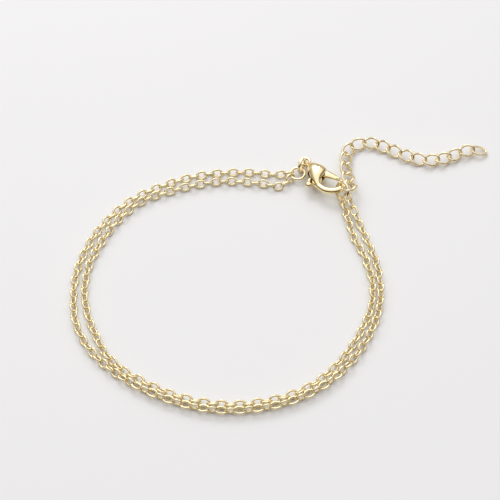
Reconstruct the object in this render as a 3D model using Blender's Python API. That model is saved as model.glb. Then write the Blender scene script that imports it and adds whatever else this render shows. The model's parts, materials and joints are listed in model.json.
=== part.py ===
# Chain bracelet: two strands of fine cable chain, a lobster clasp and an extender chain, lying on a table.
# The strands form an open loop for the wrist, lying counterclockwise from the end ring to the hook ring.
# Units are metres, +Z is up and Z = 0 is the table that the bracelet lies on.

import math

import bmesh
import bpy
from mathutils import Matrix, Vector

MM = 0.001

# Clearance between two pieces that pass through each other
GAP = 0.12 * MM

# Cable chain of both strands
LINK_LENGTH = 2.22 * MM
LINK_WIDTH = 1.66 * MM
LINK_WIRE = 0.40 * MM
LINK_BITE = 0.07 * MM
LINK_ROLL = 45.0
LINK_SIDES = 10
WIRE_SIDES = 5
INNER_STRAND_DIAMETER = 1.16 * MM

# Curb extender chain
CURB_LENGTH = 3.46 * MM
CURB_WIDTH = 2.60 * MM
CURB_WIRE = 0.46 * MM
CURB_TWIST = 42.0
CURB_ROLL_AT_RING = 4.0
CURB_ROLL = 32.0
CURB_ROLL_STEP = 5.0
CURB_SWAY = 8.0

# Jump rings
END_RING_DIAMETER = 3.30 * MM
CLASP_RING_DIAMETER = 3.20 * MM
HOOK_RING_DIAMETER = 3.80 * MM
RING_WIRE = 0.50 * MM
RING_SIDES = 14

# Lobster clasp, in its own plane: u runs from the eye's middle to the hook, v towards the gate
CLASP_LENGTH = 12.0 * MM
EYE_DIAMETER = 2.50 * MM
EYE_WIRE = 0.70 * MM
BODY_THICKNESS = 2.70 * MM
BODY_ROUNDING = 0.55 * MM
HOOK_WIRE = 1.25 * MM
LEVER_THICKNESS = 1.00 * MM
LEVER_ROUNDING = 0.10 * MM
LEVER_SLOT_GAP = 0.13 * MM
PIN_DIAMETER = 0.60 * MM
PIN_GAP = 0.06 * MM
PIVOT_U = 0.325 * CLASP_LENGTH
CLASP_HEADING = -48.9
CLASP_RISE = 5.2

# Where the loop's centre and the clasp's rings lie
LOOP_CENTRE = Vector((-10.591, -3.640, 0.0)) * MM
CLASP_RING_PLACE = Vector((13.10, 26.95, 0.0)) * MM
CLASP_RING_HEADING = 62.0
END_RING_TILT = 5.0

# Chosen points of the strands' routes about the loop's centre: angle in degrees, radius and height in mm
OUTER_ROUTE = [
    (72, 26.75, 0.68), (83, 26.20, 0.68), (100, 25.90, 0.68), (118, 25.90, 0.68), (136, 26.35, 0.68),
    (155, 26.45, 0.68), (173, 26.80, 0.68), (187, 27.05, 0.68), (200, 27.50, 0.68), (213, 27.30, 0.68),
    (226, 26.75, 0.68), (240, 26.40, 0.68), (256, 26.45, 0.68), (272, 26.65, 0.68), (290, 26.80, 0.68),
    (306, 26.75, 0.68), (322, 26.35, 0.68), (338, 26.20, 0.68), (352, 26.20, 0.68), (368, 26.05, 0.68),
    (382, 26.10, 0.68), (391, 26.85, 0.85),
]
INNER_ROUTE = [
    (68.5, 24.20, 0.70), (75, 23.95, 0.68), (91, 23.80, 0.68), (105, 23.75, 0.68), (118, 24.05, 0.68),
    (130, 24.80, 0.68), (142, 24.80, 0.68), (155, 24.60, 0.68), (170, 24.95, 0.68), (185, 25.15, 0.68),
    (198, 25.15, 0.68), (207, 25.20, 0.68), (216, 25.60, 0.68), (226, 25.50, 0.68), (236, 25.15, 0.68),
    (248, 25.15, 0.68), (262, 25.30, 0.68), (276, 25.45, 0.68), (292, 25.60, 0.68), (306, 25.45, 0.68),
    (320, 24.90, 0.68), (332, 24.60, 0.68), (345, 24.80, 0.68), (358, 24.75, 0.68), (372, 24.40, 0.68),
    (381, 24.15, 0.68), (388, 24.55, 0.74),
]
# Chosen points of the extender's route: x and y from the hook ring's centre, and height, in mm
EXTENDER_ROUTE = [
    (1.75, 0.80, 2.10), (1.65, 2.80, 1.50), (1.25, 5.00, 1.12), (1.10, 7.60, 1.02),
    (1.51, 10.50, 1.02), (3.21, 12.80, 1.02), (5.71, 13.20, 1.02), (8.11, 12.20, 1.02),
    (10.51, 10.80, 1.02), (13.11, 9.50, 1.02), (15.31, 8.70, 1.02), (17.71, 8.80, 1.02),
    (20.11, 9.50, 1.02), (22.51, 10.70, 1.02), (24.93, 11.30, 1.02), (27.33, 11.56, 0.48),
    (29.73, 11.62, 0.00),
]

POINTS_PER_SPAN = 24
TUBE_STEP = 2.9 * MM

# Colours, as linear red, green and blue
PALE_GOLD = (0.83, 0.62, 0.32)
WARM_GOLD = (0.76, 0.53, 0.24)


def clear_scene():
    for old in list(bpy.data.objects):
        bpy.data.objects.remove(old)


def new_collection(name):
    collection = bpy.data.collections.new(name)
    bpy.context.scene.collection.children.link(collection)
    return collection


def metal(name, colour, roughness):
    material = bpy.data.materials.new(name)
    material.use_nodes = True
    shader = material.node_tree.nodes["Principled BSDF"]
    shader.inputs["Base Color"].default_value = (*colour, 1.0)
    shader.inputs["Metallic"].default_value = 1.0
    shader.inputs["Roughness"].default_value = roughness
    return material


def add_object(name, mesh, collection, material, place=None):
    piece = bpy.data.objects.new(name, mesh)
    if place is not None:
        piece.matrix_world = place
    mesh.materials.clear()
    mesh.materials.append(material)
    collection.objects.link(piece)
    return piece


def add_cutter(name, mesh, collection, place=None):
    cutter = bpy.data.objects.new(name, mesh)
    if place is not None:
        cutter.matrix_world = place
    cutter.hide_render = True
    cutter.display_type = "WIRE"
    collection.objects.link(cutter)
    return cutter


def join_or_cut(piece, other, operation):
    modifier = piece.modifiers.new(other.name, "BOOLEAN")
    modifier.operation = operation
    modifier.object = other
    return modifier


def shade_round(mesh):
    mesh.shade_smooth()
    mesh.set_sharp_from_angle(angle=math.radians(40.0))


def mesh_from_curve(curve):
    """Turn a curve into a closed mesh whose caps are welded to its wall."""
    guide = bpy.data.objects.new(curve.name, curve)
    bpy.context.scene.collection.objects.link(guide)
    evaluated = guide.evaluated_get(bpy.context.evaluated_depsgraph_get())
    mesh = bpy.data.meshes.new_from_object(evaluated)
    bpy.data.objects.remove(guide)
    work = bmesh.new()
    work.from_mesh(mesh)
    bmesh.ops.remove_doubles(work, verts=work.verts, dist=0.001 * MM)
    bmesh.ops.recalc_face_normals(work, faces=work.faces)
    work.to_mesh(mesh)
    work.free()
    return mesh


def smooth_route(points):
    """Read a dense, smooth curve that passes through all the chosen points."""
    ends = [points[0] * 2 - points[1]] + points + [points[-1] * 2 - points[-2]]
    dense = []
    for before, start, end, after in zip(ends, ends[1:], ends[2:], ends[3:]):
        for step in range(POINTS_PER_SPAN):
            t = step / POINTS_PER_SPAN
            bend = (end - before) * t + (before * 2 - start * 5 + end * 4 - after) * t ** 2
            bend += (start * 3 - before - end * 3 + after) * t ** 3
            dense.append(start + bend / 2)
    dense.append(points[-1])
    return dense


def route_length(route):
    return sum((b - a).length for a, b in zip(route, route[1:]))


def along(route, distance):
    """Give the point at a distance along the route, and the route's direction there."""
    travelled = 0.0
    for a, b in zip(route, route[1:]):
        span = (b - a).length
        if travelled + span >= distance:
            return a.lerp(b, max(0.0, (distance - travelled) / span)), (b - a).normalized()
        travelled += span
    return route[-1], (route[-1] - route[-2]).normalized()


def place_on_route(route, distance, roll):
    """Stand a link on the route: x along it, y to its left, turned about x by the roll."""
    point, ahead = along(route, distance)
    left = Vector((0.0, 0.0, 1.0)).cross(ahead).normalized()
    up = ahead.cross(left)
    turn = Matrix((ahead, left, up)).transposed().to_4x4()
    return Matrix.Translation(point) @ turn @ Matrix.Rotation(math.radians(roll), 4, "X")


def ring_mesh(name, diameter, wire, sides=RING_SIDES, wire_sides=WIRE_SIDES):
    """A closed ring of wire in its own XY plane, with one edge of the wire facing the middle."""
    work = bmesh.new()
    section = Matrix.Translation(((diameter - wire) / 2, 0.0, 0.0)) @ Matrix.Rotation(math.pi / 2, 4, "X")
    inward = Matrix.Rotation(math.pi / 2, 4, "Z")
    bmesh.ops.create_circle(work, segments=wire_sides, radius=wire / 2, matrix=section @ inward)
    bmesh.ops.spin(
        work, geom=work.verts[:] + work.edges[:], cent=(0.0, 0.0, 0.0), axis=(0.0, 0.0, 1.0),
        angle=math.tau, steps=sides, use_merge=True)
    bmesh.ops.remove_doubles(work, verts=work.verts, dist=0.001 * MM)
    bmesh.ops.recalc_face_normals(work, faces=work.faces)
    mesh = bpy.data.meshes.new(name)
    work.to_mesh(mesh)
    work.free()
    shade_round(mesh)
    return mesh


def link_mesh(name, length, width, wire, twist=0.0, sides=LINK_SIDES, wire_sides=WIRE_SIDES):
    """A round ring pulled out to an oval link with short straight ends, and twisted about its length."""
    mesh = ring_mesh(name, width, wire, sides, wire_sides)
    half_side = math.pi / sides
    mesh.transform(Matrix.Rotation(half_side, 4, "Z"))
    stretch = (length - width * math.cos(half_side)) / 2
    half_length = (length - wire) / 2
    for vertex in mesh.vertices:
        if abs(vertex.co.x) > wire / 2:
            vertex.co.x += math.copysign(stretch, vertex.co.x)
        turn = math.radians(twist) * max(-1.0, min(1.0, vertex.co.x / half_length))
        vertex.co = Matrix.Rotation(turn, 3, "X") @ vertex.co
    return mesh


def frame_at(place, x_axis, y_axis):
    z_axis = x_axis.cross(y_axis)
    turn = Matrix((x_axis, y_axis, z_axis)).transposed().to_4x4()
    return Matrix.Translation(place) @ turn


def flat(heading):
    angle = math.radians(heading)
    return Vector((math.cos(angle), math.sin(angle), 0.0))


def end_reach(link_length, link_wire, held_wire):
    """How far a link's centre lies from the middle of the wire that its end holds."""
    return link_length / 2 - link_wire - held_wire / 2 - GAP


# Jump rings and the clasp's frame, each worked out from the ring before it

UP = Vector((0.0, 0.0, 1.0))
CLASP_RING_RADIUS = (CLASP_RING_DIAMETER - RING_WIRE) / 2
END_RING_RADIUS = (END_RING_DIAMETER - RING_WIRE) / 2
HOOK_RING_RADIUS = (HOOK_RING_DIAMETER - RING_WIRE) / 2

# The ring in the clasp's eye stands upright on the table
CLASP_RING_AHEAD = flat(CLASP_RING_HEADING)
CLASP_RING_SIDE = flat(CLASP_RING_HEADING - 90.0)
CLASP_RING_CENTRE = LOOP_CENTRE + CLASP_RING_PLACE + UP * (CLASP_RING_DIAMETER / 2 + 0.02 * MM)
CLASP_RING_FRAME = frame_at(CLASP_RING_CENTRE, CLASP_RING_AHEAD, UP)

# The end ring leans on the lower part of that ring, with its front edge near the table
END_RING_SLOPE = CLASP_RING_AHEAD * math.cos(math.radians(END_RING_TILT)) \
    + UP * math.sin(math.radians(END_RING_TILT))
END_RING_HELD = CLASP_RING_CENTRE - (CLASP_RING_AHEAD * 0.50 + UP * 0.62) \
    * (CLASP_RING_RADIUS - RING_WIRE - GAP)
END_RING_CENTRE = END_RING_HELD - END_RING_SLOPE * END_RING_RADIUS
END_RING_FRAME = frame_at(END_RING_CENTRE, CLASP_RING_SIDE, END_RING_SLOPE)

# The clasp hangs on the back of the standing ring, and rises towards its hook
CLASP_ACROSS = flat(CLASP_HEADING + 90.0)
CLASP_AHEAD = flat(CLASP_HEADING) * math.cos(math.radians(CLASP_RISE)) \
    + UP * math.sin(math.radians(CLASP_RISE))
EYE_CENTRE = CLASP_RING_CENTRE + CLASP_RING_AHEAD * CLASP_RING_RADIUS - UP * 0.25 * MM
CLASP_FRAME = frame_at(EYE_CENTRE, CLASP_AHEAD, CLASP_ACROSS)
PIVOT = CLASP_FRAME @ Vector((PIVOT_U, 0.0, 0.0))

# The middle of the hook's wire, from inside the body to the tip: u and v as shares of the clasp's length
HOOK_ROUTE = [
    (0.392, -0.183), (0.462, -0.207), (0.533, -0.220), (0.600, -0.225), (0.679, -0.217), (0.752, -0.177),
    (0.807, -0.113), (0.829, -0.046), (0.820, 0.012), (0.788, 0.060), (0.735, 0.092),
]
HOOK_TIP_TAPER = 0.72
HOOK_SEAT = Vector((0.829, -0.012, 0.0)) * CLASP_LENGTH

# The ring on the hook carries both strands' ends and the extender
HOOK_RING_AXIS = Vector((-0.795, -0.443, 0.415)).normalized()
HOOK_RING_UP = (UP - HOOK_RING_AXIS * UP.dot(HOOK_RING_AXIS)).normalized()
HOOK_RING_SIDE = HOOK_RING_UP.cross(HOOK_RING_AXIS)
HOOK_RING_LOAD = flat(CLASP_HEADING) * 0.85 - UP * 0.45
HOOK_RING_PULL = (HOOK_RING_LOAD - HOOK_RING_AXIS * HOOK_RING_LOAD.dot(HOOK_RING_AXIS)).normalized()
HOOK_RING_CENTRE = CLASP_FRAME @ HOOK_SEAT + HOOK_RING_PULL \
    * (HOOK_RING_RADIUS - RING_WIRE / 2 - HOOK_WIRE * 0.60 - GAP)
HOOK_RING_FRAME = frame_at(HOOK_RING_CENTRE, HOOK_RING_SIDE, HOOK_RING_UP)


def on_ring(frame, radius, angle):
    """The middle of a ring's wire at an angle from the ring's own x axis."""
    turn = math.radians(angle)
    return frame @ Vector((math.cos(turn) * radius, math.sin(turn) * radius, 0.0))


# Where the chains' last links hold the rings, as angles round each ring
OUTER_AT_END_RING = 190.0
INNER_AT_END_RING = 245.0
OUTER_AT_HOOK_RING = 12.0
INNER_AT_HOOK_RING = 312.0
EXTENDER_AT_HOOK_RING = 42.0


def polar_points(route):
    return [LOOP_CENTRE + flat(angle) * radius * MM + UP * height * MM for angle, radius, height in route]


def strand_route(chosen, start, end):
    return smooth_route([start] + polar_points(chosen) + [end])


def strand_stations(route):
    """Link centres along a strand: the count fits the route, and its two halves only hook together."""
    pitch = LINK_LENGTH - 2 * LINK_WIRE + LINK_BITE
    loose_pitch = LINK_LENGTH - 2 * LINK_WIRE - GAP
    reach = end_reach(LINK_LENGTH, LINK_WIRE, RING_WIRE)
    span = route_length(route) - 2 * reach
    count = 2 * round((span - loose_pitch) / pitch / 2 + 1)
    step = (span - loose_pitch) / (count - 2)
    first_half = [reach + step * index for index in range(count // 2)]
    second_half = [first_half[-1] + loose_pitch + step * index for index in range(count // 2)]
    return first_half, second_half


def joined_links(name, link, places):
    """One mesh that holds copies of a link, none of which touch each other."""
    work = bmesh.new()
    for place in places:
        copy = link.copy()
        copy.transform(place)
        work.from_mesh(copy)
        bpy.data.meshes.remove(copy)
    mesh = bpy.data.meshes.new(name)
    work.to_mesh(mesh)
    work.free()
    return mesh


def make_half_strand(name, route, stations, first_index, parts, cutters, material):
    """Fuse the odd links to the even ones, so that the half strand is one body."""
    link = link_mesh("cable link", LINK_LENGTH, LINK_WIDTH, LINK_WIRE)
    places = []
    for index, distance in enumerate(stations):
        roll = -LINK_ROLL if (index + first_index) % 2 == 0 else LINK_ROLL
        places.append(place_on_route(route, distance, roll))
    strand = add_object(name, joined_links(name, link, places[0::2]), parts, material)
    others = add_cutter(name + " odd links", joined_links(name + " odd", link, places[1::2]), cutters)
    join_or_cut(strand, others, "UNION")
    return strand


def make_outer_strand(parts, cutters, material):
    start = on_ring(END_RING_FRAME, END_RING_RADIUS, OUTER_AT_END_RING)
    end = on_ring(HOOK_RING_FRAME, HOOK_RING_RADIUS, OUTER_AT_HOOK_RING)
    route = strand_route(OUTER_ROUTE, start, end)
    first_half, second_half = strand_stations(route)
    make_half_strand("outer_strand_left", route, first_half, 0, parts, cutters, material)
    make_half_strand("outer_strand_right", route, second_half, len(first_half), parts, cutters, material)


def make_inner_strand(parts, material):
    """The inner strand's links are left to the dressed model: here it is a round tube."""
    start = on_ring(END_RING_FRAME, END_RING_RADIUS, INNER_AT_END_RING)
    end = on_ring(HOOK_RING_FRAME, HOOK_RING_RADIUS, INNER_AT_HOOK_RING)
    route = strand_route(INNER_ROUTE, start, end)
    clear = RING_WIRE / 2 + GAP + INNER_STRAND_DIAMETER / 4
    length = route_length(route) - 2 * clear
    steps = round(length / TUBE_STEP)
    curve = bpy.data.curves.new("inner_strand", "CURVE")
    curve.dimensions = "3D"
    curve.bevel_depth = INNER_STRAND_DIAMETER / 2
    curve.bevel_resolution = 2
    curve.use_fill_caps = True
    spline = curve.splines.new("POLY")
    spline.points.add(steps)
    for index, point in enumerate(spline.points):
        place, _ = along(route, clear + length * index / steps)
        point.co = (*place, 1.0)
    mesh = mesh_from_curve(curve)
    shade_round(mesh)
    add_object("inner_strand", mesh, parts, material)


def make_extender(parts, material):
    """Twisted curb links, each leaning its own way, and a plain last link that leans down to the table."""
    pitch = CURB_LENGTH - 2 * CURB_WIRE - GAP
    below_ring = Vector((HOOK_RING_CENTRE.x, HOOK_RING_CENTRE.y, 0.0))
    start = on_ring(HOOK_RING_FRAME, HOOK_RING_RADIUS, EXTENDER_AT_HOOK_RING)
    route = smooth_route([start] + [below_ring + Vector(point) * MM for point in EXTENDER_ROUTE])
    reach = end_reach(CURB_LENGTH, CURB_WIRE, RING_WIRE)
    count = int((route_length(route) - reach - CURB_LENGTH / 2) / pitch) + 1
    link = link_mesh("curb link", CURB_LENGTH, CURB_WIDTH, CURB_WIRE, CURB_TWIST)
    for index in range(count - 1):
        roll = min(CURB_ROLL, CURB_ROLL_AT_RING + CURB_ROLL_STEP * index) + CURB_SWAY * math.sin(index * 2.4)
        place = place_on_route(route, reach + pitch * index, roll)
        add_object("extender_link_%02d" % (index + 1), link, parts, material, place)
    last = link_mesh("end link", CURB_LENGTH, CURB_WIDTH, CURB_WIRE)
    place = place_on_route(route, reach + pitch * (count - 1), 0.0)
    add_object("extender_end_link", last, parts, material, place)


def make_rings(parts, material):
    end_ring = ring_mesh("end ring", END_RING_DIAMETER, RING_WIRE)
    add_object("end_ring", end_ring, parts, material, END_RING_FRAME)
    clasp_ring = ring_mesh("clasp ring", CLASP_RING_DIAMETER, RING_WIRE)
    add_object("clasp_ring", clasp_ring, parts, material, CLASP_RING_FRAME)
    hook_ring = ring_mesh("hook ring", HOOK_RING_DIAMETER, RING_WIRE)
    add_object("hook_ring", hook_ring, parts, material, HOOK_RING_FRAME)


def outline_mesh(name, points, half_thickness, rounding, round_steps, resolution):
    """A closed smooth outline with rounded edges, flat in the clasp's plane."""
    curve = bpy.data.curves.new(name, "CURVE")
    curve.dimensions = "2D"
    curve.fill_mode = "BOTH"
    curve.extrude = half_thickness - rounding
    curve.bevel_depth = rounding
    curve.bevel_resolution = round_steps
    curve.resolution_u = resolution
    spline = curve.splines.new("BEZIER")
    spline.bezier_points.add(len(points) - 1)
    spline.use_cyclic_u = True
    for bezier, (u, v) in zip(spline.bezier_points, points):
        bezier.co = (u * CLASP_LENGTH, v * CLASP_LENGTH, 0.0)
        bezier.handle_left_type = "AUTO"
        bezier.handle_right_type = "AUTO"
    return mesh_from_curve(curve)


def wire_mesh(name, points, diameter):
    """A round wire through smooth points, flat in the clasp's plane."""
    chosen = [Vector((u, v, 0.0)) * CLASP_LENGTH for u, v in points]
    route = smooth_route(chosen)
    curve = bpy.data.curves.new(name, "CURVE")
    curve.dimensions = "3D"
    curve.bevel_depth = diameter / 2
    curve.bevel_resolution = 2
    curve.use_fill_caps = True
    spline = curve.splines.new("POLY")
    kept = route[::POINTS_PER_SPAN * 3 // 4]
    spline.points.add(len(kept) - 1)
    for index, (point, place) in enumerate(zip(spline.points, kept)):
        share = index / (len(kept) - 1)
        point.co = (*place, 1.0)
        point.radius = 1.0 - (1.0 - HOOK_TIP_TAPER) * share ** 6
    return mesh_from_curve(curve)


def post_mesh(name, radius, length, sides):
    work = bmesh.new()
    bmesh.ops.create_cone(
        work, cap_ends=True, segments=sides, radius1=radius, radius2=radius, depth=length)
    mesh = bpy.data.meshes.new(name)
    work.to_mesh(mesh)
    work.free()
    return mesh


def box_mesh(name, low, high, half_thickness):
    """A block between two (u, v) corners, level on both sides of the clasp's plane."""
    work = bmesh.new()
    size = Vector(((high[0] - low[0]) * CLASP_LENGTH, (high[1] - low[1]) * CLASP_LENGTH, half_thickness * 2))
    middle = Vector((high[0] + low[0], high[1] + low[1], 0.0)) * CLASP_LENGTH / 2
    bmesh.ops.create_cube(work, size=1.0, matrix=Matrix.Translation(middle) @ Matrix.Diagonal((*size, 1.0)))
    mesh = bpy.data.meshes.new(name)
    work.to_mesh(mesh)
    work.free()
    return mesh


# Outline of the clasp's body, drawn inside its rounded edge: u and v as shares of the clasp's length
BODY_OUTLINE = [
    (0.129, -0.012), (0.217, -0.085), (0.300, -0.147), (0.400, -0.202), (0.483, -0.218), (0.467, -0.171),
    (0.415, -0.096), (0.402, 0.004), (0.375, 0.067), (0.308, 0.075), (0.217, 0.038),
]
# Corners of the lever's slot: the nub's part lies before the split, the gate's part above it
SLOT_LOW = (0.229, -0.383)
SLOT_SPLIT = (0.430, -0.146)
SLOT_HIGH = (0.600, 0.217)
SLOT_LAP = 0.083


def make_clasp_body(parts, cutters, material):
    """Body, eye and fixed hook cast as one piece, with a slot for the lever and a hole for its pin."""
    outline = outline_mesh("clasp body", BODY_OUTLINE, BODY_THICKNESS / 2, BODY_ROUNDING, 1, 3)
    body = add_object("clasp_body", outline, parts, material, CLASP_FRAME)
    eye = add_cutter("eye", ring_mesh("eye", EYE_DIAMETER, EYE_WIRE, 14, 8), cutters, CLASP_FRAME)
    hook = add_cutter("hook", wire_mesh("hook", HOOK_ROUTE, HOOK_WIRE), cutters, CLASP_FRAME)
    half_slot = LEVER_THICKNESS / 2 + LEVER_SLOT_GAP
    nub_slot = box_mesh("nub slot", SLOT_LOW, (SLOT_SPLIT[0], SLOT_HIGH[1]), half_slot)
    gate_slot = box_mesh("gate slot", (SLOT_SPLIT[0] - SLOT_LAP, SLOT_SPLIT[1]), SLOT_HIGH, half_slot)
    pin_hole = post_mesh("pin hole", PIN_DIAMETER / 2 + PIN_GAP, BODY_THICKNESS * 2, 14)
    pivot_frame = CLASP_FRAME @ Matrix.Translation((PIVOT_U, 0.0, 0.0))
    join_or_cut(body, eye, "UNION")
    join_or_cut(body, hook, "UNION")
    join_or_cut(body, add_cutter("nub slot", nub_slot, cutters, CLASP_FRAME), "DIFFERENCE")
    join_or_cut(body, add_cutter("gate slot", gate_slot, cutters, CLASP_FRAME), "DIFFERENCE")
    join_or_cut(body, add_cutter("pin hole", pin_hole, cutters, pivot_frame), "DIFFERENCE")
    return body


# Outline of the lever about its pivot, as shares of the clasp's length: gate first, then the thumb nub
LEVER_OUTLINE = [
    (-0.052, 0.004), (-0.027, 0.052), (0.033, 0.083), (0.108, 0.113), (0.217, 0.127), (0.317, 0.123),
    (0.358, 0.102), (0.335, 0.070), (0.233, 0.042), (0.133, 0.002), (0.077, -0.042), (0.057, -0.100),
    (0.060, -0.217), (0.085, -0.268), (0.143, -0.285), (0.158, -0.323), (0.125, -0.360), (0.068, -0.362),
    (0.018, -0.330), (0.002, -0.267), (0.000, -0.183), (-0.018, -0.092),
]


def make_clasp_lever(parts, cutters, material):
    """Gate, hub and thumb nub stamped as one piece, turning on the clasp's pin."""
    pivot_frame = CLASP_FRAME @ Matrix.Translation((PIVOT_U, 0.0, 0.0))
    outline = outline_mesh("clasp lever", LEVER_OUTLINE, LEVER_THICKNESS / 2, LEVER_ROUNDING, 0, 2)
    lever = add_object("clasp_lever", outline, parts, material, pivot_frame)
    hole = post_mesh("lever hole", PIN_DIAMETER / 2 + PIN_GAP, BODY_THICKNESS * 2, 14)
    join_or_cut(lever, add_cutter("lever hole", hole, cutters, pivot_frame), "DIFFERENCE")
    return lever


def make_clasp_pin(parts, material):
    pin = post_mesh("clasp pin", PIN_DIAMETER / 2, BODY_THICKNESS, 12)
    shade_round(pin)
    pivot_frame = CLASP_FRAME @ Matrix.Translation((PIVOT_U, 0.0, 0.0))
    add_object("clasp_pin", pin, parts, material, pivot_frame)


clear_scene()
parts = new_collection("chain bracelet")
cutters = new_collection("cutters")
chain_gold = metal("pale gold chain", PALE_GOLD, 0.22)
ring_gold = metal("pale gold wire", PALE_GOLD, 0.18)
cast_gold = metal("polished cast gold", WARM_GOLD, 0.12)
make_outer_strand(parts, cutters, chain_gold)
make_inner_strand(parts, chain_gold)
make_extender(parts, ring_gold)
make_rings(parts, ring_gold)
make_clasp_body(parts, cutters, cast_gold)
make_clasp_lever(parts, cutters, cast_gold)
make_clasp_pin(parts, cast_gold)
bpy.context.view_layer.update()
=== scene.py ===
# The looks of the chain bracelet: pale gold links, rings and clasp, lying on a white table.

import json
import math

import bmesh
import bpy
import numpy as np
from mathutils import Matrix, Vector


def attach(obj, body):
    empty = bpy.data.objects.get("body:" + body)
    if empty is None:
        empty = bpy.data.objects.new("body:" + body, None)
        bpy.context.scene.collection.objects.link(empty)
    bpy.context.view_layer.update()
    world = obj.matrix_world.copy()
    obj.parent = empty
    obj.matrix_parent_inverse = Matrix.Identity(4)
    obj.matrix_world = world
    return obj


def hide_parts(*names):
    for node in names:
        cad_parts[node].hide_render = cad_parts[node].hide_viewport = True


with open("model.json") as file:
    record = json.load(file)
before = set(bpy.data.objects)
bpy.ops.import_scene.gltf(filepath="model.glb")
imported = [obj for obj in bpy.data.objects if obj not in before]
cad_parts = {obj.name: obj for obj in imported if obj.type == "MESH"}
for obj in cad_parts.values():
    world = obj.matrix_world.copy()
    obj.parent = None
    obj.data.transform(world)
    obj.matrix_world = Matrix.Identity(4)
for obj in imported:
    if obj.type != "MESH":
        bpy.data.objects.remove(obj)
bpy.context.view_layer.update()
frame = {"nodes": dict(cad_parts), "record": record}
MM = 0.001


# White table under soft daylight.
# A matt painted top. Broad light falls from above and behind, so the shadows lie towards the camera.

TABLE_SIDE = 1.6
TABLE_WHITE = "#F4F5F5"
PAINT_ROUGHNESS = 0.55
PAINT_SPECULAR = 0.25
WRIST_BOX = frame["record"]["physics"]["openings"][0]["box_m"]
LOOP_CENTRE = Vector(((WRIST_BOX[0][0] + WRIST_BOX[1][0]) / 2, (WRIST_BOX[0][1] + WRIST_BOX[1][1]) / 2, 0.0))
VIEW_TARGET = LOOP_CENTRE + Vector((3.5, 7.8, 0.0)) * MM
VIEW_DISTANCE = 242.6 * MM
VIEW_ELEVATION = math.radians(50.0)
VIEW_LENS = 98.35
VIEW_NEAREST = 5.0 * MM
WINDOW_PLACE = VIEW_TARGET + Vector((-0.10, 0.42, 0.40))
WINDOW_SIZE = (0.34, 0.24)
WINDOW_WATTS = 0.8
ROOM_STRENGTH = 1.14
# The room's colours, from the way opposite the brightest one (0) to the brightest way (1)
BRIGHTEST_WAY = (-0.04, 0.32, 0.946)
ROOM_BANDS = [(0.00, "#9C9494"), (0.47, "#33271B"), (0.61, "#4A3E32"), (0.67, "#A69C9D"), (0.80, "#BEB5B7"),
              (0.86, "#FFFFFF"), (1.00, "#FFFFFF")]


def linear(hex_colour):
    """Turn an sRGB hex colour into the linear colour that a shader takes."""
    parts = [int(hex_colour[i:i + 2], 16) / 255 for i in (1, 3, 5)]
    return [p / 12.92 if p <= 0.04045 else ((p + 0.055) / 1.055) ** 2.4 for p in parts] + [1.0]


def add_node(tree, kind, settings=None, inputs=None):
    """Add a node, set its properties, and fill or link its inputs."""
    node = tree.nodes.new(kind)
    for name, value in (settings or {}).items():
        setattr(node, name, value)
    for socket, value in (inputs or {}).items():
        if isinstance(value, bpy.types.NodeSocket):
            tree.links.new(value, node.inputs[socket])
        else:
            node.inputs[socket].default_value = value
    return node


def add_piece(name, data):
    piece = bpy.data.objects.new(name, data)
    bpy.context.scene.collection.objects.link(piece)
    return piece


def matt_paint():
    """White lacquer with almost no gloss."""
    material = bpy.data.materials.new("matt white paint")
    material.use_nodes = True
    shader = material.node_tree.nodes["Principled BSDF"]
    shader.inputs["Base Color"].default_value = linear(TABLE_WHITE)
    shader.inputs["Roughness"].default_value = PAINT_ROUGHNESS
    shader.inputs["Specular IOR Level"].default_value = PAINT_SPECULAR
    return material


bpy.ops.mesh.primitive_grid_add(x_subdivisions=2, y_subdivisions=2, size=TABLE_SIDE, location=VIEW_TARGET)
table = bpy.context.object
table.name = "table_top"
table.data.materials.append(matt_paint())

camera = add_piece("camera", bpy.data.cameras.new("camera"))
towards_camera = Vector((0.0, -math.cos(VIEW_ELEVATION), math.sin(VIEW_ELEVATION)))
camera.location = VIEW_TARGET + VIEW_DISTANCE * towards_camera
camera.rotation_euler = (math.pi / 2 - VIEW_ELEVATION, 0.0, 0.0)
camera.data.lens = VIEW_LENS
camera.data.clip_start = VIEW_NEAREST
bpy.context.scene.camera = camera


def add_softbox(name, place, aim, size, watts):
    """A soft white light from a rectangle that faces its aim."""
    light = bpy.data.lights.new(name, "AREA")
    light.shape = "RECTANGLE"
    light.size, light.size_y = size
    light.energy = watts
    lamp = add_piece(name, light)
    lamp.location = place
    lamp.rotation_euler = (aim - place).to_track_quat("-Z", "Y").to_euler()


# A bright ceiling over a dark room, which polished gold shows as thin dark lines
world = bpy.data.worlds.new("bright room")
bpy.context.scene.world = world
world.use_nodes = True
room = world.node_tree
room.nodes.clear()
direction = add_node(room, "ShaderNodeTexCoord")
towards_light = add_node(room, "ShaderNodeVectorMath", {"operation": "DOT_PRODUCT"}, {
    0: direction.outputs["Generated"], 1: BRIGHTEST_WAY})
share = add_node(room, "ShaderNodeMapRange", inputs={
    "Value": towards_light.outputs["Value"], "From Min": -1.0, "From Max": 1.0})
ramp = add_node(room, "ShaderNodeValToRGB", inputs={0: share.outputs["Result"]})
for place, colour in ROOM_BANDS[1:-1]:
    ramp.color_ramp.elements.new(place)
for element, (place, colour) in zip(ramp.color_ramp.elements, ROOM_BANDS):
    element.position = place
    element.color = linear(colour)
glow = add_node(room, "ShaderNodeBackground", inputs={
    "Color": ramp.outputs["Color"], "Strength": ROOM_STRENGTH})
add_node(room, "ShaderNodeOutputWorld", inputs={"Surface": glow.outputs["Background"]})

bpy.context.scene.view_settings.view_transform = "Standard"
add_softbox("window behind", WINDOW_PLACE, VIEW_TARGET, WINDOW_SIZE, WINDOW_WATTS)


# Drawn and cast gold.
# Pale yellow gold plate over brass. Wire is drawn and tumbled, the clasp is cast and polished on a wheel.

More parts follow.
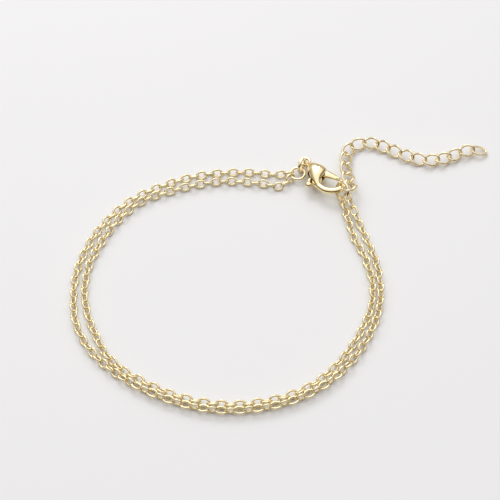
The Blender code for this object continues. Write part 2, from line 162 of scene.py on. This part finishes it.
CHAIN_GOLD = "#F8E9BE"
WIRE_GOLD = "#F9EAC3"
CAST_GOLD = "#F9E8B8"
RIPPLE_DEPTH = 0.02 * MM
HANDLING_SIZE = 3.0 * MM
NOISE_RANGE = (0.3, 0.7)
GLOSS_SPREAD = (0.75, 1.35)


def polished_gold(name, colour, roughness, ripple, ripple_size):
    """Gold plate: it mirrors the room, slightly broken by the waves that drawing and tumbling leave."""
    material = bpy.data.materials.new(name)
    material.use_nodes = True
    tree = material.node_tree
    shader = tree.nodes["Principled BSDF"]
    shader.inputs["Base Color"].default_value = linear(colour)
    shader.inputs["Metallic"].default_value = 1.0
    place = add_node(tree, "ShaderNodeTexCoord")
    waves = add_node(tree, "ShaderNodeTexNoise", inputs={
        "Vector": place.outputs["Object"], "Scale": 1.0 / ripple_size, "Detail": 2.0})
    handling = add_node(tree, "ShaderNodeTexNoise", inputs={
        "Vector": place.outputs["Object"], "Scale": 1.0 / HANDLING_SIZE, "Detail": 3.0})
    gloss = add_node(tree, "ShaderNodeMapRange", inputs={
        "Value": handling.outputs["Fac"], "From Min": NOISE_RANGE[0], "From Max": NOISE_RANGE[1],
        "To Min": roughness * GLOSS_SPREAD[0], "To Max": roughness * GLOSS_SPREAD[1]})
    bump = add_node(tree, "ShaderNodeBump", inputs={
        "Height": waves.outputs["Fac"], "Strength": ripple, "Distance": RIPPLE_DEPTH})
    tree.links.new(gloss.outputs["Result"], shader.inputs["Roughness"])
    tree.links.new(bump.outputs["Normal"], shader.inputs["Normal"])
    return material


chain_gold = polished_gold("drawn gold chain", CHAIN_GOLD, roughness=0.10, ripple=0.25, ripple_size=0.5 * MM)
wire_gold = polished_gold("drawn gold wire", WIRE_GOLD, roughness=0.12, ripple=0.20, ripple_size=0.8 * MM)
cast_gold = polished_gold("cast polished gold", CAST_GOLD, roughness=0.09, ripple=0.10, ripple_size=1.6 * MM)


# Jump rings.
# Round gold wire wound on a rod, sawn through and closed, so each ring has a fine split.

RING_WIRE = 0.50 * MM
RING_SPLIT = math.radians(1.6)
RING_STEPS = 48
RING_WIRE_SIDES = 14
RING_SPLIT_AT = math.radians(35.0)
RING_SHARP = math.radians(50.0)
END_RING_HEADING = -28.0
HOOK_RING_HEADING = -69.7


def flat(heading):
    angle = math.radians(heading)
    return Vector((math.cos(angle), math.sin(angle), 0.0))


def frame_at(place, x_axis, y_axis):
    turn = Matrix((x_axis, y_axis, x_axis.cross(y_axis))).transposed().to_4x4()
    return Matrix.Translation(place) @ turn


def node_axes(name):
    """The middle of a CAD node, its longest axis, its shortest axis, and how far it reaches along each."""
    mesh = frame["nodes"][name].data
    points = np.empty(len(mesh.vertices) * 3)
    mesh.vertices.foreach_get("co", points)
    points = np.unique(points.reshape(-1, 3).round(7), axis=0)
    middle = (points.max(axis=0) + points.min(axis=0)) / 2
    _, _, axes = np.linalg.svd(points - points.mean(axis=0), full_matrices=False)
    reach = np.ptp(points @ axes.T, axis=0)
    return Vector(middle), Vector(axes[0]), Vector(axes[2]), reach


def ring_frame(name, heading):
    """A ring's own frame: x along a heading, z out of its plane and upwards."""
    middle, _, normal, reach = node_axes(name)
    if normal.z < 0.0:
        normal = -normal
    side = flat(heading)
    side = (side - normal * side.dot(normal)).normalized()
    return frame_at(middle, side, normal.cross(side)), (max(reach) - RING_WIRE) / 2


def skin(work, rows):
    """Faces from each row of points to the next, and one over each end."""
    for row, after in zip(rows, rows[1:]):
        for side, vertex in enumerate(row):
            following = (side + 1) % len(row)
            work.faces.new((vertex, row[following], after[following], after[side]))
    work.faces.new(rows[0])
    work.faces.new(rows[-1])
    bmesh.ops.recalc_face_normals(work, faces=work.faces)


def mesh_of(name, work):
    """The mesh that a worked form gives. The form itself goes."""
    mesh = bpy.data.meshes.new(name)
    work.to_mesh(mesh)
    work.free()
    return mesh


def plain_mesh(piece):
    """The mesh that an object's curve or modifiers give. The object itself goes."""
    evaluated = piece.evaluated_get(bpy.context.evaluated_depsgraph_get())
    mesh = bpy.data.meshes.new_from_object(evaluated)
    bpy.data.objects.remove(piece)
    return mesh


def jump_ring(name, ring, radius):
    """A round wire bent to a ring, with both sawn ends left a hair apart."""
    work = bmesh.new()
    rows = []
    for step in range(RING_STEPS + 1):
        turn = RING_SPLIT / 2 + (math.tau - RING_SPLIT) * step / RING_STEPS + RING_SPLIT_AT
        out = Vector((math.cos(turn), math.sin(turn), 0.0))
        row = []
        for side in range(RING_WIRE_SIDES):
            angle = math.tau * side / RING_WIRE_SIDES
            raised = Vector((0.0, 0.0, math.sin(angle) * RING_WIRE / 2))
            row.append(work.verts.new(out * (radius + math.cos(angle) * RING_WIRE / 2) + raised))
        rows.append(row)
    skin(work, rows)
    mesh = mesh_of(name, work)
    mesh.transform(ring)
    mesh.shade_smooth()
    mesh.set_sharp_from_angle(angle=RING_SHARP)
    mesh.materials.append(wire_gold)
    return add_piece(name, mesh)


end_ring, end_radius = ring_frame("end_ring", END_RING_HEADING)
hook_ring, hook_radius = ring_frame("hook_ring", HOOK_RING_HEADING)
clasp_ring, clasp_radius = ring_frame("clasp_ring", END_RING_HEADING)
for name, ring, radius in (
        ("end_ring", end_ring, end_radius), ("clasp_ring", clasp_ring, clasp_radius),
        ("hook_ring", hook_ring, hook_radius)):
    piece = jump_ring(name + "_wire", ring, radius)
    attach(piece, "bracelet")
    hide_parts(name)


# Two strands of cable chain.
# Each link is a soldered oval of gold wire, turned a quarter turn from the one before it.
# At the front the outer strand has rolled over, so its links lie flat and stand upright in turn.

LINK_LENGTH = 2.22 * MM
LINK_WIDTH = 1.66 * MM
LINK_WIRE = 0.40 * MM
LINK_ROLL = math.radians(45.0)
LINK_SCATTER = math.radians(5.0)
END_GAP = 0.10 * MM
LINK_SIDES = 20
LINK_WIRE_SIDES = 8
OUTER_LINKS = 106
INNER_LINKS = 103
OUTER_SEED = 3
INNER_SEED = 8
ROUTE_FINENESS = 24
# The trim node's sockets for a start and an end given as lengths share their names with two others
TRIM_START = 4
TRIM_END = 5

# The strands' chosen points about the loop's middle: angle in degrees, radius and height in mm
OUTER_ROUTE = [
    (72, 26.75, 0.68), (83, 26.20, 0.68), (100, 25.90, 0.68), (118, 25.90, 0.68), (136, 26.35, 0.68),
    (155, 26.45, 0.68), (173, 26.80, 0.68), (187, 27.05, 0.68), (200, 27.50, 0.68), (213, 27.30, 0.68),
    (226, 26.75, 0.68), (240, 26.40, 0.68), (256, 26.45, 0.68), (272, 26.65, 0.68), (290, 26.80, 0.68),
    (306, 26.75, 0.68), (322, 26.35, 0.68), (338, 26.20, 0.68), (352, 26.20, 0.68), (368, 26.05, 0.68),
    (382, 26.10, 0.68), (391, 26.85, 0.85),
]
INNER_ROUTE = [
    (68.5, 24.20, 0.70), (75, 23.95, 0.68), (91, 23.80, 0.68), (105, 23.75, 0.68), (118, 24.05, 0.68),
    (130, 24.80, 0.68), (142, 24.80, 0.68), (155, 24.60, 0.68), (170, 24.95, 0.68), (185, 25.15, 0.68),
    (198, 25.15, 0.68), (207, 25.20, 0.68), (216, 25.60, 0.68), (226, 25.50, 0.68), (236, 25.15, 0.68),
    (248, 25.15, 0.68), (262, 25.30, 0.68), (276, 25.45, 0.68), (292, 25.60, 0.68), (306, 25.45, 0.68),
    (320, 24.90, 0.68), (332, 24.60, 0.68), (345, 24.80, 0.68), (358, 24.75, 0.68), (372, 24.40, 0.68),
    (381, 24.15, 0.68), (388, 24.55, 0.74),
]
# The outer strand leans between these angles
FRONT_LEAN = math.radians(45.0)
FRONT_FROM = 235.0
FRONT_TO = 315.0
OUTER_AT_END_RING = 190.0
INNER_AT_END_RING = 245.0
OUTER_AT_HOOK_RING = 12.0
INNER_AT_HOOK_RING = 312.0


def new_tree(name, numbers, with_material=True):
    """An empty node tree whose named inputs are its sizes, and its material if it has one."""
    tree = bpy.data.node_groups.new(name, "GeometryNodeTree")
    tree.interface.new_socket("Geometry", in_out="INPUT", socket_type="NodeSocketGeometry")
    tree.interface.new_socket("Geometry", in_out="OUTPUT", socket_type="NodeSocketGeometry")
    for label, kind in numbers.items():
        tree.interface.new_socket(label, in_out="INPUT", socket_type=kind)
    if with_material:
        tree.interface.new_socket("Material", in_out="INPUT", socket_type="NodeSocketMaterial")
    return tree, add_node(tree, "NodeGroupInput").outputs


def maths(tree, operation, first, second=0.0):
    return add_node(tree, "ShaderNodeMath", {"operation": operation}, {0: first, 1: second}).outputs[0]


LINK_SIZES = {"Length": "NodeSocketFloat", "Width": "NodeSocketFloat", "Wire": "NodeSocketFloat",
              "Twist": "NodeSocketFloat", "Sides": "NodeSocketInt", "Wire sides": "NodeSocketInt"}


def half_left(tree, whole, part):
    """Half of what a size leaves when a part is taken off it."""
    return maths(tree, "MULTIPLY", maths(tree, "SUBTRACT", whole, part), 0.5)


def oval_link_tree():
    """A circle of wire, pulled out to an oval and twisted about its length."""
    tree, given = new_tree("oval link", LINK_SIZES, with_material=False)
    radius = half_left(tree, given["Width"], given["Wire"])
    circle = add_node(tree, "GeometryNodeCurvePrimitiveCircle", inputs={
        "Resolution": given["Sides"], "Radius": radius})
    place = add_node(tree, "GeometryNodeInputPosition").outputs[0]
    across = add_node(tree, "ShaderNodeSeparateXYZ", inputs={0: place}).outputs["X"]
    stretch = half_left(tree, given["Length"], given["Width"])
    offset = add_node(tree, "ShaderNodeCombineXYZ", inputs={
        "X": maths(tree, "MULTIPLY", maths(tree, "DIVIDE", across, radius), stretch)})
    oval = add_node(tree, "GeometryNodeSetPosition", inputs={
        "Geometry": circle.outputs["Curve"], "Offset": offset.outputs[0]})
    half_length = half_left(tree, given["Length"], given["Wire"])
    turn = maths(tree, "MULTIPLY", maths(tree, "DIVIDE", across, half_length), given["Twist"])
    turned = add_node(tree, "ShaderNodeVectorRotate", {"rotation_type": "X_AXIS"}, {
        "Vector": place, "Angle": turn})
    twisted = add_node(tree, "GeometryNodeSetPosition", inputs={
        "Geometry": oval.outputs[0], "Position": turned.outputs[0]})
    section = add_node(tree, "GeometryNodeCurvePrimitiveCircle", inputs={
        "Resolution": given["Wire sides"], "Radius": maths(tree, "MULTIPLY", given["Wire"], 0.5)})
    wire = add_node(tree, "GeometryNodeCurveToMesh", inputs={
        "Curve": twisted.outputs[0], "Profile Curve": section.outputs["Curve"]})
    add_node(tree, "NodeGroupOutput", inputs={0: wire.outputs[0]})
    return tree


oval_link = oval_link_tree()


def finish_tree(tree, instances, given):
    """Make the copies real, smooth and gold, and hand them out."""
    real = add_node(tree, "GeometryNodeRealizeInstances", inputs={0: instances})
    smooth = add_node(tree, "GeometryNodeSetShadeSmooth", inputs={"Geometry": real.outputs[0]})
    gold = add_node(tree, "GeometryNodeSetMaterial", inputs={
        "Geometry": smooth.outputs[0], "Material": given["Material"]})
    add_node(tree, "NodeGroupOutput", inputs={0: gold.outputs[0]})
    return tree


def link_inputs(given):
    return {label: given[label] for label in LINK_SIZES}


def strand_tree():
    """Links hooked along a route, evenly spread, each rolled the other way from the one before."""
    sizes = dict(LINK_SIZES)
    sizes.update({"Links": "NodeSocketInt", "End reach": "NodeSocketFloat", "Roll": "NodeSocketFloat",
                  "Scatter": "NodeSocketFloat", "Seed": "NodeSocketInt"})
    tree, given = new_tree("strand of links", sizes)
    rounded = add_node(tree, "GeometryNodeCurveSplineType", {"spline_type": "CATMULL_ROM"}, {
        "Curve": given["Geometry"]})
    fine = add_node(tree, "GeometryNodeSetSplineResolution", inputs={
        "Geometry": rounded.outputs[0], "Resolution": ROUTE_FINENESS})
    whole = add_node(tree, "GeometryNodeCurveLength", inputs={0: fine.outputs[0]})
    trimmed = add_node(tree, "GeometryNodeTrimCurve", {"mode": "LENGTH"}, {
        "Curve": fine.outputs[0], TRIM_START: given["End reach"],
        TRIM_END: maths(tree, "SUBTRACT", whole.outputs[0], given["End reach"])})
    stations = add_node(tree, "GeometryNodeResampleCurve", {"mode": "COUNT"}, {
        "Curve": trimmed.outputs[0], "Count": given["Links"]})
    ahead = add_node(tree, "GeometryNodeInputTangent").outputs[0]
    lie = add_node(tree, "FunctionNodeAxesToRotation", {"primary_axis": "X", "secondary_axis": "Z"}, {
        0: ahead, 1: (0.0, 0.0, 1.0)})
    index = add_node(tree, "GeometryNodeInputIndex").outputs[0]
    side = maths(tree, "SUBTRACT", maths(tree, "MULTIPLY", maths(tree, "MODULO", index, 2.0), 2.0), 1.0)
    chance = add_node(tree, "FunctionNodeRandomValue", {"data_type": "FLOAT_VECTOR"}, {
        0: (-1.0, -1.0, -1.0), 1: (1.0, 1.0, 1.0), "Seed": given["Seed"]})
    loose = add_node(tree, "ShaderNodeVectorMath", {"operation": "SCALE"}, {
        0: chance.outputs[0], "Scale": given["Scatter"]})
    lean = add_node(tree, "GeometryNodeInputCurveTilt").outputs[0]
    quarter = maths(tree, "ADD", maths(tree, "MULTIPLY", side, given["Roll"]), lean)
    roll = add_node(tree, "ShaderNodeCombineXYZ", inputs={"X": quarter})
    both = add_node(tree, "ShaderNodeVectorMath", {"operation": "ADD"}, {
        0: roll.outputs[0], 1: loose.outputs[0]})
    turn = add_node(tree, "FunctionNodeEulerToRotation", inputs={0: both.outputs[0]})
    rolled = add_node(tree, "FunctionNodeRotateRotation", {"rotation_space": "LOCAL"}, {
        0: lie.outputs[0], 1: turn.outputs[0]})
    link = add_node(tree, "GeometryNodeGroup", {"node_tree": oval_link}, link_inputs(given))
    copies = add_node(tree, "GeometryNodeInstanceOnPoints", inputs={
        "Points": stations.outputs[0], "Instance": link.outputs[0], "Rotation": rolled.outputs[0]})
    return finish_tree(tree, copies.outputs[0], given)


def grown(name, carrier, tree, values):
    """Run a node tree on its carrier object and keep the result as a plain mesh."""
    modifier = carrier.modifiers.new(tree.name, "NODES")
    modifier.node_group = tree
    for item in tree.interface.items_tree:
        if item.in_out == "INPUT" and item.name in values:
            modifier[item.identifier] = values[item.name]
    mesh = plain_mesh(carrier)
    mesh.name = name
    return add_piece(name, mesh)


def route_curve(name, points):
    curve = bpy.data.curves.new(name, "CURVE")
    curve.dimensions = "3D"
    spline = curve.splines.new("POLY")
    spline.points.add(len(points) - 1)
    for knot, (place, lean) in zip(spline.points, points):
        knot.co = (*place, 1.0)
        knot.tilt = lean
    return add_piece(name, curve)


def on_ring(ring, radius, angle):
    turn = math.radians(angle)
    return ring @ Vector((math.cos(turn) * radius, math.sin(turn) * radius, 0.0))


def strand_points(route, start_angle, end_angle, front_lean):
    """The route's points with their lean; a leaning link stands higher."""
    points = []
    for angle, radius, height in route:
        lean = front_lean if FRONT_FROM < angle < FRONT_TO else 0.0
        lift = (LINK_WIDTH - LINK_WIRE) / 2 * (math.sin(LINK_ROLL + lean) - math.sin(LINK_ROLL))
        raised = Vector((0.0, 0.0, height * MM + lift))
        points.append((LOOP_CENTRE + flat(angle) * radius * MM + raised, lean))
    start = on_ring(end_ring, end_radius, start_angle)
    end = on_ring(hook_ring, hook_radius, end_angle)
    return [(start, 0.0)] + points + [(end, 0.0)]


STRAND_VALUES = {
    "Length": LINK_LENGTH, "Width": LINK_WIDTH, "Wire": LINK_WIRE, "Twist": 0.0, "Sides": LINK_SIDES,
    "Wire sides": LINK_WIRE_SIDES, "End reach": LINK_LENGTH / 2 - LINK_WIRE - RING_WIRE / 2 - END_GAP,
    "Roll": LINK_ROLL, "Scatter": LINK_SCATTER, "Material": chain_gold,
}
strand_of_links = strand_tree()
outer_points = strand_points(OUTER_ROUTE, OUTER_AT_END_RING, OUTER_AT_HOOK_RING, FRONT_LEAN)
inner_points = strand_points(INNER_ROUTE, INNER_AT_END_RING, INNER_AT_HOOK_RING, 0.0)
# The outer strand starts with the other turn, which lines the two strands' links up at the front
outer = grown("outer_strand_links", route_curve("outer route", outer_points), strand_of_links, {
    **STRAND_VALUES, "Roll": -LINK_ROLL, "Links": OUTER_LINKS, "Seed": OUTER_SEED})
inner = grown("inner_strand_links", route_curve("inner route", inner_points), strand_of_links, {
    **STRAND_VALUES, "Links": INNER_LINKS, "Seed": INNER_SEED})
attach(outer, "bracelet")
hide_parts("outer_strand_left", "outer_strand_right")
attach(inner, "bracelet")
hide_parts("inner_strand")


# Curb extender.
# Larger oval links, each twisted so that the chain lies in one band.
# The last link is plain and leans down to the table at the free end.

CURB_LENGTH = 3.46 * MM
CURB_WIDTH = 2.60 * MM
CURB_WIRE = 0.46 * MM
CURB_TWIST = math.radians(42.0)
CURB_SIDES = 28
CURB_WIRE_SIDES = 10


def laid_links_tree():
    """One link at each given point, turned as the point says."""
    tree, given = new_tree("laid links", LINK_SIZES)
    turn = add_node(tree, "GeometryNodeInputNamedAttribute", {"data_type": "QUATERNION"}, {"Name": "turn"})
    link = add_node(tree, "GeometryNodeGroup", {"node_tree": oval_link}, link_inputs(given))
    copies = add_node(tree, "GeometryNodeInstanceOnPoints", inputs={
        "Points": given["Geometry"], "Instance": link.outputs[0], "Rotation": turn.outputs[0]})
    return finish_tree(tree, copies.outputs[0], given)


def link_places(name, nodes):
    """A point for each CAD link, in its middle, with the link's own turn."""
    places = [node_axes(node) for node in nodes]
    mesh = bpy.data.meshes.new(name)
    mesh.from_pydata([middle for middle, _, _, _ in places], [], [])
    turns = []
    for middle, long_axis, short_axis, _ in places:
        turns.extend(frame_at(middle, long_axis, short_axis.cross(long_axis)).to_quaternion())
    mesh.attributes.new("turn", "QUATERNION", "POINT").data.foreach_set("value", turns)
    return add_piece(name, mesh)


CURB_VALUES = {"Length": CURB_LENGTH, "Width": CURB_WIDTH, "Wire": CURB_WIRE, "Sides": CURB_SIDES,
               "Wire sides": CURB_WIRE_SIDES, "Material": wire_gold}
laid_links = laid_links_tree()
curb_nodes = sorted(node for node in frame["nodes"] if node.startswith("extender_link_"))
curb = grown("extender_links", link_places("curb places", curb_nodes), laid_links, {
    **CURB_VALUES, "Twist": CURB_TWIST})
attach(curb, "bracelet")
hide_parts(*curb_nodes)
last = grown("extender_last_link", link_places("end place", ["extender_end_link"]), laid_links, {
    **CURB_VALUES, "Twist": 0.0})
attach(last, "bracelet")
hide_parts("extender_end_link")


# Lobster clasp.
# Cast in one piece with its eye and hook, tumbled round and polished. The lever turns on a riveted pin.
# Shaped in millimetres about the eye's middle: u runs to the hook, v towards the gate.

CLASP_HEADING = -48.9
PIVOT = (3.90, 0.0)
EYE_DIAMETER = 2.50
EYE_WIRE = 0.70
HOOK_WIRE = 1.25
LEVER_THICKNESS = 1.00
SLOT_GAP = 0.13
PIN_DIAMETER = 0.60
PIN_LENGTH = 2.70
PIN_GAP = 0.06
HUB_RADIUS = 0.62
NUB_RADIUS = 0.64
NUB_FLATNESS = 0.85
RIVET_ROUNDING = 0.10
RIVET_ROUNDING_STEPS = 3
# How finely the forms are made, and how far the cast skin is smoothed
BODY_SIDES = 12
BODY_LEVELS = 3
EYE_STEPS = 48
EYE_WIRE_SIDES = 20
BENT_WIRE_FINENESS = 5
BALL_STEPS = 24
BALL_ROWS = 16
POST_SIDES = 32
CAST_STEP = 0.08
CAST_SHARP = math.radians(35.0)
SMOOTHING_SHARE = 0.5
BODY_SMOOTHINGS = 14
LEVER_SMOOTHINGS = 6
# Sections of the drop-shaped body: u, lower and upper edge, half thickness
BODY_SECTIONS = [
    (0.60, -0.40, 0.20, 0.30), (1.10, -0.70, 0.45, 0.62), (1.80, -1.20, 0.82, 1.08),
    (2.60, -1.82, 1.22, 1.38), (3.40, -2.34, 1.52, 1.50), (4.20, -2.76, 1.60, 1.52),
    (4.90, -3.04, 1.36, 1.46), (5.30, -3.14, 0.70, 1.34), (5.70, -3.20, -0.80, 1.14),
    (6.20, -3.26, -1.75, 0.90), (6.80, -3.30, -2.05, 0.68),
]
# The middle of the hook's wire and its share of the full thickness
HOOK_ROUTE = [
    (4.70, -2.20, 1.0), (5.55, -2.48, 1.0), (6.40, -2.64, 1.0), (7.20, -2.70, 1.0), (8.15, -2.60, 1.0),
    (9.03, -2.12, 1.0), (9.68, -1.36, 0.99), (9.95, -0.55, 0.97), (9.84, 0.14, 0.92), (9.46, 0.72, 0.82),
    (8.82, 1.10, 0.72),
]
# Corners of the lever's two slots, and the lever's own forms about its pin: places and radii of its wires
SLOTS = [((2.75, -4.60), (5.16, 2.60)), ((4.16, -1.12), (7.20, 2.60))]
GATE_ROUTE = [
    (-0.10, 0.14, 0.62), (0.80, 0.30, 0.90), (1.80, 0.62, 0.88), (2.90, 0.94, 0.64), (3.86, 1.14, 0.40),
]
GATE_FLATNESS = 0.62
GATE_END_RISE = 1.1
NUB_ROUTE = [
    (0.05, -0.20, 0.42), (0.34, -1.40, 0.40), (0.40, -2.50, 0.40), (0.70, -3.30, 0.44), (1.12, -3.72, 0.48),
]
NUB = (1.14, -3.76)
# A wire of this thickness has a radius of 1 mm, so its shares are its radii
UNIT_WIRE = 2.0


def drop_body():
    """A coarse cage of oval sections, rounded by subdivision."""
    work = bmesh.new()
    rows = []
    for place, low, high, half in BODY_SECTIONS:
        section = Matrix.Translation((place, (low + high) / 2, 0.0)) @ Matrix.Rotation(math.pi / 2, 4, "Y")
        oval = section @ Matrix.Diagonal((half, (high - low) / 2, 1.0, 1.0))
        rows.append(bmesh.ops.create_circle(work, segments=BODY_SIDES, radius=1.0, matrix=oval)["verts"])
    skin(work, rows)
    piece = add_piece("drop body", mesh_of("drop body", work))
    piece.modifiers.new("rounding", "SUBSURF").levels = BODY_LEVELS
    return plain_mesh(piece)


def bent_wire(name, route, thickness, start=(0.0, 0.0)):
    """A round wire through smooth points, each with its own share of the thickness."""
    curve = bpy.data.curves.new(name, "CURVE")
    curve.dimensions = "3D"
    curve.bevel_depth = thickness / 2
    curve.bevel_resolution = BENT_WIRE_FINENESS
    curve.use_fill_caps = True
    spline = curve.splines.new("BEZIER")
    spline.bezier_points.add(len(route) - 1)
    for knot, (u, v, share) in zip(spline.bezier_points, route):
        knot.co = (start[0] + u, start[1] + v, 0.0)
        knot.radius = share
        knot.handle_left_type = "AUTO"
        knot.handle_right_type = "AUTO"
    return plain_mesh(add_piece(name, curve))


def flattened(mesh, share):
    """Press a form flatter, or raise it, across the clasp's plane."""
    mesh.transform(Matrix.Diagonal((1.0, 1.0, share, 1.0)))
    return mesh


def ball(name, place, radius, squash=1.0):
    work = bmesh.new()
    shape = Matrix.Translation((*place, 0.0)) @ Matrix.Diagonal((1.0, 1.0, squash, 1.0))
    bmesh.ops.create_uvsphere(work, u_segments=BALL_STEPS, v_segments=BALL_ROWS, radius=radius, matrix=shape)
    return mesh_of(name, work)


def post(name, place, radius, length):
    work = bmesh.new()
    bmesh.ops.create_cone(
        work, cap_ends=True, segments=POST_SIDES, radius1=radius, radius2=radius, depth=length,
        matrix=Matrix.Translation((*place, 0.0)))
    return mesh_of(name, work)


def pin_hole(name):
    return post(name, PIVOT, PIN_DIAMETER / 2 + PIN_GAP, 2 * PIN_LENGTH)


def block(name, low, high, half):
    work = bmesh.new()
    middle = Matrix.Translation(((low[0] + high[0]) / 2, (low[1] + high[1]) / 2, 0.0))
    bmesh.ops.create_cube(work, size=1.0, matrix=middle @ Matrix.Diagonal(
        (high[0] - low[0], high[1] - low[1], half * 2, 1.0)))
    return mesh_of(name, work)


def cast(name, forms, cuts, place, rounds):
    """Melt closed forms into one soft skin, cut it, shrink it to metres and set it in its place."""
    work = bmesh.new()
    for form in forms:
        work.from_mesh(form)
    piece = add_piece(name, mesh_of(name, work))
    melt = piece.modifiers.new("melt", "REMESH")
    melt.mode = "VOXEL"
    melt.voxel_size = CAST_STEP
    melt.use_smooth_shade = True
    soften = piece.modifiers.new("soften", "SMOOTH")
    soften.factor = SMOOTHING_SHARE
    soften.iterations = rounds
    cutters = [add_piece(cut.name, cut) for cut in cuts]
    for cutter in cutters:
        modifier = piece.modifiers.new(cutter.name, "BOOLEAN")
        modifier.operation = "DIFFERENCE"
        modifier.solver = "EXACT"
        modifier.object = cutter
    result = plain_mesh(piece)
    for cutter in cutters:
        bpy.data.objects.remove(cutter)
    result.transform(place @ Matrix.Scale(MM, 4))
    result.shade_smooth()
    result.set_sharp_from_angle(angle=CAST_SHARP)
    result.materials.clear()
    result.materials.append(cast_gold)
    return add_piece(name, result)


hinge = frame["record"]["behaviour"]["joints"][0]
across = -Vector(hinge["axis"]).normalized()
ahead = flat(CLASP_HEADING)
ahead = (ahead - across * ahead.dot(across)).normalized()
clasp_place = frame_at(Vector(hinge["pos_m"]) - ahead * PIVOT[0] * MM, ahead, across.cross(ahead))

bpy.ops.mesh.primitive_torus_add(
    major_radius=(EYE_DIAMETER - EYE_WIRE) / 2, minor_radius=EYE_WIRE / 2,
    major_segments=EYE_STEPS, minor_segments=EYE_WIRE_SIDES)
eye = plain_mesh(bpy.context.object)
hook_end = HOOK_ROUTE[-1]
gate_end = GATE_ROUTE[-1]
body = cast("clasp_casting", [
    drop_body(), eye, bent_wire("hook", HOOK_ROUTE, HOOK_WIRE),
    ball("hook end", hook_end[:2], HOOK_WIRE / 2 * hook_end[2])],
    [block("slot", low, high, LEVER_THICKNESS / 2 + SLOT_GAP) for low, high in SLOTS]
    + [pin_hole("pin hole")], clasp_place, BODY_SMOOTHINGS)
lever = cast("clasp_thumb_lever", [
    flattened(bent_wire("gate", GATE_ROUTE, UNIT_WIRE, PIVOT), GATE_FLATNESS),
    bent_wire("thumb arm", NUB_ROUTE, UNIT_WIRE, PIVOT),
    post("hub", PIVOT, HUB_RADIUS, LEVER_THICKNESS),
    flattened(ball("gate end", (PIVOT[0] + gate_end[0], gate_end[1]), gate_end[2]), GATE_END_RISE),
    ball("thumb nub", (PIVOT[0] + NUB[0], NUB[1]), NUB_RADIUS, NUB_FLATNESS)],
    [pin_hole("lever hole")], clasp_place, LEVER_SMOOTHINGS)
blank = add_piece("rivet blank", post("clasp rivet", PIVOT, PIN_DIAMETER / 2, PIN_LENGTH))
rounding = blank.modifiers.new("rivet edge", "BEVEL")
rounding.width = RIVET_ROUNDING
rounding.segments = RIVET_ROUNDING_STEPS
rivet = plain_mesh(blank)
rivet.transform(clasp_place @ Matrix.Scale(MM, 4))
rivet.shade_smooth()
rivet.materials.append(cast_gold)
pin = add_piece("clasp_rivet", rivet)
for piece, body_name, node in (
        (body, "bracelet", "clasp_body"), (lever, "lever", "clasp_lever"), (pin, "bracelet", "clasp_pin")):
    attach(piece, body_name)
    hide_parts(node)
